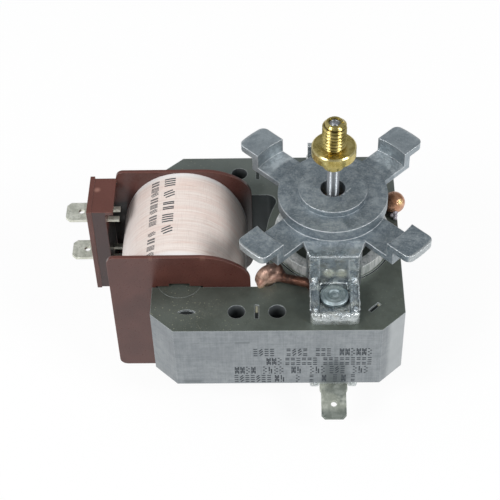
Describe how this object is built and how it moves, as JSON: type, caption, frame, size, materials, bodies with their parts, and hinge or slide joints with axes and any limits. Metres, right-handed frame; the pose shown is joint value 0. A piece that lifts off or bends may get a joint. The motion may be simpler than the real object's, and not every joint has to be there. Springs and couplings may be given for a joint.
{
  "type": "oven fan motor",
  "caption": "Shaded-pole motor with a taped coil on a laminated stack, a bracket with raised claws, and a vertical shaft that ends in a threaded brass bush.",
  "frame": {"origin": "on the shaft's axis, in the plane of the brass collar that the fan seats on", "axes": "+Z along the shaft towards its threaded end, +X from the coil to the rotor"},
  "size_m": [0.0913, 0.0687, 0.0726],
  "materials": {
    "lamination_steel": "oxide grey-green top, brushed cut edges",
    "bobbin_plastic": "red-brown moulding",
    "copper_winding": "enamelled copper wire",
    "coil_tape": "pinkish cream tape",
    "tinned_tab": "dull tin plate",
    "copper_ring": "heat-darkened copper",
    "die_cast": "blue-grey die casting",
    "rivet_steel": "zinc-plated steel",
    "sintered_bronze": "porous bronze",
    "oil_felt": "oiled felt",
    "spring_steel": "spring steel",
    "shaft_steel": "ground steel",
    "cast_aluminium": "cast in place",
    "spacer_brass": "drawn tube",
    "washer_plastic": "laminated plastic",
    "turned_brass": "turned brass"
  },
  "bodies": {
    "frame": {"stator_stack": "lamination_steel", "coil_core": "lamination_steel", "bobbin": "bobbin_plastic", "winding": "copper_winding", "winding_tape": "coil_tape", "terminal_upper": "tinned_tab", "terminal_lower": "tinned_tab", "earth_tab": "tinned_tab", "shading_ring_front": "copper_ring", "shading_ring_back": "copper_ring", "upper_bracket": "die_cast", "lower_bracket": "die_cast", "rivet_front": "rivet_steel", "rivet_back": "rivet_steel", "upper_bearing": "sintered_bronze", "lower_bearing": "sintered_bronze", "upper_felt": "oil_felt", "lower_felt": "oil_felt", "upper_bearing_clip": "spring_steel", "lower_bearing_clip": "spring_steel"},
    "rotor": {"shaft": "shaft_steel", "threaded_bush": "turned_brass", "rotor_laminations": "lamination_steel", "rotor_cage": "cast_aluminium", "upper_spacer": "spacer_brass", "lower_spacer": "spacer_brass", "upper_thrust_washer": "washer_plastic", "lower_thrust_washer": "washer_plastic"}
  },
  "joints": [
    {"name": "rotor_spin", "type": "hinge", "parent": "frame", "child": "rotor", "pos_m": [0, 0, 0], "axis": [0, 0, 1], "continuous": true}
  ]
}
